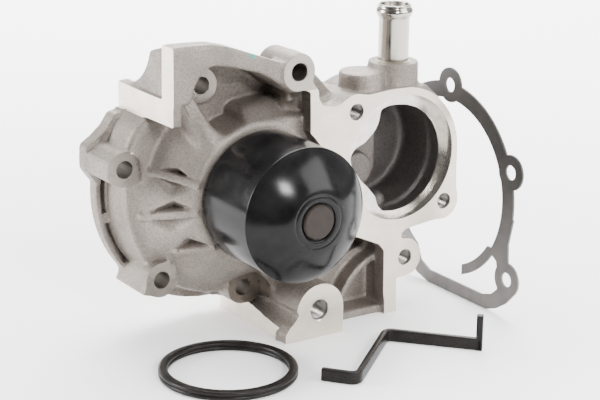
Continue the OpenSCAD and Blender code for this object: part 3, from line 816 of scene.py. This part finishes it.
def hose_bosses(c):
    c.add(plate([(44, 28), (44, 37.5), (52, 38.6), (62, 39), (72, 40.6), (92, 41), (99, 33), (90, 28)],
                26, 50.5, 2.5), 3.0)
    c.add(post(COLLAR, 12.2, 30, 52, 1.0, taper=0.3), 1.5)
    c.add(post(BLANK, 11.1, 30, 49.2, 1.5, taper=0.3), 1.5)


def cores(c):
    # outlet pocket and the duct to the thermostat chamber
    c.core(plate([(30, -40), (13, -56), (17, -64), (62, -64), (70, -56), (70, -40), (60, -22), (42, -16)],
                 -6, 22, 2.5, 4), 1.5)
    c.core(plate([(38, -22), (62, -30), (70, -6), (52, 16), (38, 20)], -6, 22, 2.5, 4), 1.5)
    # chamber behind the thermostat: its mouth, its inside and what shows in it
    mouth = ([(69.1, 30.5), (67.9, 24.1), (65.6, 20.2), (60.1, 15.4), (54.4, 13.2), (52.0, 9.9), (52.4, 5.6),
              (58.4, -3.2), (62.6, -7.2), (66.8, -12), (68.4, -17.2), (71.9, -20.4)]
             + arc((78.2, 5.4), 26.4, -104, 90, 14) + [(73.6, 31.8)])
    c.core(plate(mouth, 38, 60, 1.0, 1.5), 1.2)
    c.core(barrel((76.6, 7.5), 27, 16, 42.5, 4.0), 2.0)
    c.add(plate([(46, -6), (46, 34), (73, 34), (73, -2), (64, -6)], 14, 35, 0.6), 0.8)
    c.add(barrel((59.3, 0.9), 8.8, 16, 41, 2.5), 1.5)
    c.add(bar((70, 20, -18), (72, 38, -16), 4.5), 3.0)


def ring_slot(c, inner, outer, near, far, start, end):
    """A curved slot round the flange's centre, from angle start to end in degrees."""
    middle, half = math.radians((start + end) / 2), math.radians((end - start) / 2)

    def distance(x, d, z):
        u, v = x - FLANGE[0], z - FLANGE[1]
        radius = np.sqrt(u * u + v * v)
        swing = np.abs(np.arctan2(v * math.cos(middle) - u * math.sin(middle),
                                  u * math.cos(middle) + v * math.sin(middle)))
        side = np.maximum(radius - outer, inner - radius)
        return np.maximum(np.maximum(side, (swing - half) * radius),
                          np.abs(d - (near + far) / 2) - (far - near) / 2)

    points = arc(FLANGE, outer, start, end, 12) + arc(FLANGE, inner, start, end, 12)
    xs, zs = [p[0] for p in points], [p[1] for p in points]
    c.machine(Solid((min(xs), near, min(zs)), (max(xs), far, max(zs)), distance), "cast")


def machining(c):
    """Machined faces, slots, bores and threaded holes, each with the finish of its faces."""
    def box(low, high, finish):
        middle = [(a + b) / 2 for a, b in zip(low, high)]
        half = [(b - a) / 2 for a, b in zip(low, high)]

        def distance(x, d, z):
            return np.maximum(np.maximum(np.abs(x - middle[0]) - half[0], np.abs(d - middle[1]) - half[1]),
                              np.abs(z - middle[2]) - half[2])

        c.machine(Solid(low, high, distance), finish)

    box((-80, -8, -85), (125, 0, 85), "milled")
    box((-80, -8, -85), (125, 90, TABLE), "milled")
    box((9, FACE, -43), (125, FACE + 30, 46.3), "milled")
    box((9, FACE, 46.3), (125, FACE + 30, 85), "arch_face")
    box((42, FACE, -85), (125, FACE + 30, -42), "milled")
    box((SIDE_X - 8, BRACKET_FRONT, -85), (45, BRACKET_FRONT + 9, -40), "milled")
    box((PAD_X - 8, -8, 37.3), (PAD_X, 60, 80), "pad")
    # the lower pad's faces take a brightened copy of the pad finish, as painted light
    box((SIDE_X - 9, -2, -85), (SIDE_X, 54, -60), "low_pad")

    def hole(centre, radius, near, far, finish="bored"):
        c.machine(barrel(centre, radius, near, far, 0), finish)

    for start, end in ((171.5, 189.3), (194.3, 217.5)):
        ring_slot(c, 55.3, 57.9, 2.2, 8.5, start, end)
    hole((0, 0), 43, -4, 15, "milled")
    hole((0, 0), 15, 10, 27)
    hole((0, 0), 11.5, 20, 36)
    hole((0, 0), 15, 34, 75)
    hole(STAT, 30.5, 45, 56, "recess")
    for i, bolt in enumerate(BLOCK_BOLTS):
        spot_r = 8.3 if bolt == POCKET_BOLT else 9.4
        hole(bolt, 4.1, -4, ARCH_FRONT)
        hole(bolt, spot_r, LUG_FRONT - 0.6, 46, f"spot_{i}")
    hole(ARCH_BOLT, 4.2, 32, 60)
    for bolt in COVER_BOLTS:
        hole(bolt, 3.9, 36, 60)
    hole(CORNER_BOLT, 3.9, 38, 60)
    hole(BRACKET_HOLE, 4.9, 41, 70)
    for bolt in COVER_BOLTS + [CORNER_BOLT]:
        c.machine(barrel(bolt, 3.3, FACE - 0.8, FACE + 2, 0, taper=-2.8), "milled")
    c.machine(barrel(BRACKET_HOLE, 4.8, BRACKET_FRONT - 0.7, BRACKET_FRONT + 2, 0, taper=-2.7), "milled")
    c.machine(barrel(ARCH_BOLT, 4.1, FACE - 0.5, FACE + 2, 0, taper=-2.5), "milled")
    c.machine(post(COLLAR, 7.2, 50.8, 54, 0, taper=-3.2), "milled")
    c.machine(post(COLLAR, 7.3, 40, 60, 0), "bored")
    c.machine(post(COLLAR, 6.0, 18, 41, 0), "bored")
    c.machine(post((0, 30.5), 2.2, -62, -8, 0), "bored")


def in_chamber(middle):
    """Which face centres are inside the thermostat chamber, and which of those are on its shelf. Their
    as-cast faces get darker materials as painted shade.
    """
    x, depth, z = middle.T
    chamber_r, back, mouth = 29.5, 12, 44.6
    shelf_right, shelf_back, shelf_bottom = 73.3, 34, -8
    inside = (np.hypot(x - STAT[0], z - STAT[1]) < chamber_r) & (depth > back) & (depth < mouth)
    return inside, inside & (x < shelf_right) & (depth > shelf_back) & (z > shelf_bottom)


def make_housing():
    low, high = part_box("housing")
    step = 1.15
    spare = 3.4   # room round the housing, so that its surface closes inside the grid
    c = Casting((low.x / MM - spare, -high.y / MM - spare, low.z / MM - spare),
                (high.x / MM + spare, -low.y / MM + spare, high.z / MM + spare), step)
    for build in (flange_and_volute, timing_arch, column_and_neck, pocket, lower_block, thermostat_housing,
                  hose_bosses, gussets, lugs, cores, machining):
        build(c)
    points, quads, labels = c.surface()
    finishes = {"cast": cast_aluminium("cast_aluminium", dot=(-6.4, -50, 65.7)),
                # painted shade: a darker copy of the cast aluminium for the inside of the thermostat chamber
                "chamber": cast_aluminium("chamber_painted_shade", (0.085, 0.076, 0.071)),
                # painted shade: a still darker copy of the cast aluminium for the shelf and lump in the
                # chamber
                "shelf": cast_aluminium("shelf_painted_shade", (0.115, 0.10, 0.09)),
                "milled": milled("milled_aluminium"),
                "pad": milled("pad_face", (0.84, 0.76, 0.665), 0.42, (1, 0.05, 1.6)),
                "arch_face": milled("arch_boss_face", (0.38, 0.345, 0.31), 0.42),
                # painted light: a brighter, less metallic copy of the pad finish for the lower pad, which the
                # flange shades from the key lamp
                "low_pad": milled("low_pad_painted_light", (0.84, 0.77, 0.68), 0.45, (1, 0.05, 1.6), 0.45),
                "recess": faced("turned_recess", (0.60, 0.57, 0.53), 0.20, STAT),
                "bored": faced("bored_hole", (0.27, 0.25, 0.23), 0.38, (0, 0))}
    for i, bolt in enumerate(BLOCK_BOLTS):
        finishes[f"spot_{i}"] = faced(f"spot_face_{i}", (0.27, 0.24, 0.21), 0.30, bolt)
    order = list(finishes)
    mesh = mesh_from("housing_body", points * np.array([1, -1, 1]) * MM, quads[:, ::-1])
    tool_finish = np.array([order.index(f) for _, f in c.tools] + [0])
    numbers = tool_finish[labels]
    inside, shelf = in_chamber(points[quads].mean(axis=1))
    # as-cast faces inside the chamber take the painted-shade material
    numbers[inside & (labels < 0)] = order.index("chamber")
    # as-cast faces on the chamber's shelf take the darker painted-shade material
    numbers[shelf & (labels < 0)] = order.index("shelf")
    mesh.polygons.foreach_set("material_index", numbers.astype(np.int32))
    make_piece(mesh, 32, "root", "cast_aluminium", *finishes.values(), node="housing")


make_housing()


# ---------------------------------------------------------------- the other pieces

RING_C = (-34.6, 77)   # seal ring on the table, as (x, depth)
SHAFT_R = 7.959        # integral bearing shaft


def make_pulley():
    """Pressed steel pulley with a rounded front, black coated."""
    dome = [(30.55, 85.35), (30.1, 85.9), (29, 86.95), (27.5, 88.15), (25.5, 89.55), (23.5, 90.85),
            (21.5, 92.05), (19.5, 93.15), (17.5, 94.15), (15.7, 94.95), (14.2, 95.45), (13.0, 95.72),
            (12.5, 95.8)]
    inside = [(15 + 12.2 * math.cos(a), 82.4 + 9.6 * math.sin(a)) for a in np.linspace(math.pi / 2, 0, 12)]
    profile = (arc((30.3, 50.2), 0.7, -80, 0, 4) + [(31, 51), (31, 84.6), (30.95, 84.95), (30.8, 85.2)]
               + dome + [(12.1, 95.6), (11.9, 95.6), (11.7, 95.75), (9.3, 95.8), (8.9, 95.6), (8.75, 94.6),
                         (SHAFT_R + 0.1, 94.4), (SHAFT_R + 0.1, 78.2), (11.2, 78.2), (11.2, 90.5)]
               + inside + [(27.6, 80), (27.6, 50.4), (28.3, 49.6)])
    drum = turned("pulley_drum", profile, 160)
    make_piece(drum, 38, "rotor", "black_steel", black_coat("pulley_black"), node="pulley")


def make_tube():
    """Plated hose tube with a rolled bead and a rounded mouth."""
    bead = [(7.3, 72.4), (7.5, 72.9), (8.0, 73.6), (8.5, 74.4), (8.75, 75.2), (8.8, 75.9), (8.65, 76.7),
            (8.25, 77.3), (7.95, 77.8), (7.9, 78.2)]
    lip = arc((7.35, 78.6), 0.6, -10, 180, 10)
    profile = [(6.15, 40), (7.3, 40)] + bead + lip + [(6.75, 77.6), (6.15, 76)]
    zinc = plain_metal("zinc_plate", (0.42, 0.395, 0.355), 0.22, 2.0, 0.015, spread=0.04)
    make_piece(standing("tube_body", profile, COLLAR), 50, "root", "zinc_steel", zinc, node="hose_tube")


def make_ring():
    """Moulded ring with two round beads, one over the other, and a groove between them."""
    radius, half, height, bead = 29.0, 2.15, 4.2, 1.1
    low, high = bead, height - bead
    out, back = radius + half - bead, radius - half + bead
    section = (arc((out, low), bead, -90, 62, 8) + arc((out, high), bead, -62, 90, 8)
               + arc((back, high), bead, 90, 242, 8) + arc((back, low), bead, 118, 270, 8))
    profile = [(across, TABLE + up) for across, up in section]
    mesh = standing("ring_body", profile, RING_C, 144)
    look = rubber("ring_rubber", (0.012, 0.0105, 0.0098), 0.32)
    make_piece(mesh, 40, "root", "black_rubber", look, node="thermostat_ring")


def bent(path, bend):
    """The line through a path of (x, y) with each corner rounded, and its last direction."""
    path = [np.array(p) for p in path]
    line = [path[0]]
    for before, corner, after in zip(path, path[1:], path[2:]):
        into, out = unit(corner - before), unit(after - corner)
        line += curve(corner - into * bend, corner, corner + out * bend, 8)
    return line, out


def make_strip():
    """Cover strip seal: a bar on edge with rounded bends, and an upright leg at its end."""
    end = np.array((79.6, -114.3))
    width, height, radius, leg = 3.0, 5.7, 0.6, 17.0
    line, way = bent([(-3, -104.5), (7.1, -117.3), (49, -80.7), end], 4.2)
    points, faces = [], []

    def sweep(spine, wide, high):
        """A bar with rounded edges along a line of (x, y, z). An upright one faces the strip's last run."""
        section = []
        for cx, cy, start in ((1, 1, 0), (-1, 1, 90), (-1, -1, 180), (1, -1, 270)):
            section += arc((cx * (wide / 2 - radius), cy * (high / 2 - radius)), radius, start, start + 90, 4)
        first, count = len(points), len(section)
        for i, p in enumerate(spine):
            ahead = unit(spine[min(i + 1, len(spine) - 1)] - spine[max(i - 1, 0)])
            flat = way if abs(ahead[2]) > 0.5 else unit(ahead[:2])
            side = np.array([-flat[1], flat[0], 0])
            up = np.cross(ahead, side)
            for u, v in section:
                q = p + side * u + up * v
                points.append((q[0] * MM, q[1] * MM, (q[2] + TABLE) * MM))
        faces.extend(skin(len(spine), count, False, first))
        faces.append(tuple(first + k for k in range(count)))
        faces.append(tuple(first + len(spine) * count - 1 - k for k in range(count)))

    run_end = end - way * 0.4
    foot = end - way * width / 2
    sweep(np.array([(x, y, height / 2) for x, y in line + [run_end]]), width, height)
    sweep(np.array([(foot[0], foot[1], z) for z in (0.0, 6.0, 11.5, leg)]), width, width)
    mesh = mesh_from("strip_body", points, faces)
    tidy(mesh)
    look = rubber("strip_rubber", (0.009, 0.0075, 0.007), 0.30)
    make_piece(mesh, 40, "root", "black_rubber", look, node="cover_seal_strip")


def make_threads():
    """Thread crests in the tapped holes of the cover face and the bracket boss. Their metal is darkened as
    painted shade for the inside of the holes.
    """
    # painted shade: the thread metal is much darker than the machined aluminium round it, for the shade
    # inside the holes
    shaded_thread_metal = plain_metal("thread_metal_painted_shade", (0.20, 0.19, 0.175), 0.32, 4.0, 0.03)
    holes = [("thread_upper", COVER_BOLTS[0], 3.9, FACE, 13), ("thread_lower", COVER_BOLTS[1], 3.9, FACE, 13),
             ("thread_corner", CORNER_BOLT, 3.9, FACE, 12),
             ("thread_bracket", BRACKET_HOLE, 4.9, BRACKET_FRONT, 17)]
    pitch, chamfer = 1.25, 1.3
    for name, centre, radius, front, length in holes:
        crest, root, rim = radius - 0.55, radius + 0.12, radius + 0.45
        start = front - chamfer
        inner = []
        for i in range(int(length / pitch)):
            inner += [(crest, start - i * pitch), (crest, start - (i + 0.12) * pitch),
                      (root, start - (i + 0.5) * pitch), (root, start - (i + 0.62) * pitch)]
        mesh = turned(name, inner + [(rim, inner[-1][1]), (rim, start)], 64, centre)
        make_piece(mesh, 30, "root", "cast_aluminium", shaded_thread_metal)


def set_material(node, material):
    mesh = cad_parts[node].data
    mesh.materials.clear()
    mesh.materials.append(material)


def inner_materials():
    bearing = faced("bearing_steel", (0.46, 0.45, 0.44), 0.24, (0, 0), 0.9, 1.0)
    polished = plain_metal("polished_steel", (0.60, 0.59, 0.58), 0.12, 2.0, 0.01, spread=0.05)
    cage = moulded("cage_plastic", (0.055, 0.085, 0.04), 0.45)
    lip = rubber("seal_rubber", (0.02, 0.02, 0.02))
    brass = plain_metal("seal_brass", (0.56, 0.40, 0.18), 0.30)
    looks = {"bearing_outer_ring": bearing, "bearing_balls": polished, "bearing_rollers": polished,
             "ball_cage": cage, "roller_cage": cage, "bearing_seal_front": lip, "bearing_seal_rear": lip,
             "seal_bellows": lip, "seat_cup": lip, "slinger": lip, "seal_case": brass, "seal_sleeve": brass,
             "seal_spring": plain_metal("spring_steel", (0.52, 0.51, 0.50), 0.22),
             "carbon_ring": moulded("seal_carbon", (0.035, 0.036, 0.04), 0.35),
             "seat_ring": moulded("seal_ceramic", (0.62, 0.58, 0.52), 0.25),
             "shaft": faced("shaft_steel", (0.032, 0.026, 0.023), 0.40, (0, 0), 0.8, 0.2, IOR=1.2),
             "impeller": plain_metal("impeller_steel", (0.44, 0.43, 0.41), 0.30, 1.5, 0.06),
             "gasket": gasket_paper("gasket_sheet")}
    for node, look in looks.items():
        set_material(node, look)


make_pulley()
make_tube()
make_ring()
make_strip()
make_threads()
inner_materials()


# ---------------------------------------------------------------- studio

TO_CAMERA = (-0.530, -0.795, 0.294)

def studio():
    floor_mat, tree, main = shader("paper_floor", (0.95, 0.95, 0.95), 0, 0.9)
    mottle = noise(tree, coordinates(tree), 0.01, 2)
    tree.links.new(between(tree, mottle, 0.945, 0.955), main.inputs["Base Color"])
    # the table glows more towards the backdrop, to stay pale there without lighting the pump from below
    away = scaled(tree, distance_to(tree, (0, 0, TABLE), False), 0.001)
    tree.links.new(ramp(tree, away, [(0.12, 0.10), (0.65, 1.0)]), main.inputs["Emission Color"])
    main.inputs["Emission Strength"].default_value = 1.6
    path = [(-0.34, 0), (1.2, 0)] + [(1.2 + 0.5 * math.sin(a), 0.5 - 0.5 * math.cos(a))
                                    for a in np.linspace(0.2, math.pi / 2, 8)] + [(1.7, 2.5)]
    points = [(side, y, TABLE * MM + z - 0.0002) for side in (-1.0, 1.0) for y, z in path]
    count = len(path)
    faces = [(i, i + 1, count + i + 1, count + i) for i in range(count - 1)]
    floor = put("floor", mesh_from("floor", points, faces))
    floor.data.materials.append(floor_mat)
    turn = math.radians(-33.67)
    floor.matrix_world = Matrix.Rotation(turn, 4, "Z")
    for face in floor.data.polygons:
        face.use_smooth = True

    world = bpy.data.worlds.new("studio")
    bpy.context.scene.world = world
    world.use_nodes = True
    # the room is dark on the side that the picture is taken from, and below the table
    tree = world.node_tree
    way = add_node(tree, "TexCoord", [], "Generated")
    toward = add_node(tree, "VectorMath", [(0, way), (1, TO_CAMERA)], "Value", operation="DOT_PRODUCT")
    height = add_node(tree, "SeparateXYZ", [(0, way)], "Z")
    front = ramp(tree, toward, [(0.25, 1.0), (0.8, 0.10)])
    above = ramp(tree, height, [(0.0, 0.12), (0.12, 1.0)])
    tree.links.new(mix(tree, 1.0, front, above, "MULTIPLY"), tree.nodes["Background"].inputs["Color"])
    tree.nodes["Background"].inputs["Strength"].default_value = 0.9

    def area(name, place, target, size, power):
        light = bpy.data.lights.new(name, "AREA")
        light.shape = "RECTANGLE"
        light.size, light.size_y = size
        light.energy = power
        lamp = put(name, light)
        lamp.location = place
        lamp.rotation_euler = (Vector(target) - Vector(place)).to_track_quat("-Z", "Y").to_euler()

    centre = (0.03, -0.03, 0)
    area("key", (-1.05, 0.55, 0.34), centre, (0.5, 0.6), 25)
    area("front", (0.75, -1.05, 0.6), centre, (0.8, 0.8), 20)
    area("spot", (-0.15, -0.97, 0.47), centre, (0.16, 0.16), 10)
    area("top", (0.2, 0.25, 1.2), (0.15, 0.1, 0), (1.1, 1.1), 33)
    area("backdrop", (0.7, 0.9, 1.3), (0.9, 1.3, 0.2), (1.2, 0.8), 60)


def camera():
    lens = bpy.data.cameras.new("camera")
    lens.lens = 106.67
    lens.sensor_width = 36
    lens.clip_end = 20
    eye = put("camera", lens)
    right = Vector((0.834, -0.551, 0.0128))
    back = Vector(TO_CAMERA).normalized()
    up = back.cross(right).normalized()
    right = up.cross(back)
    turn = Matrix((right, up, back)).transposed().to_4x4()
    turn.translation = Vector((-0.4146, -0.7025, 0.2361))
    eye.matrix_world = turn
    bpy.context.scene.camera = eye


studio()
camera()
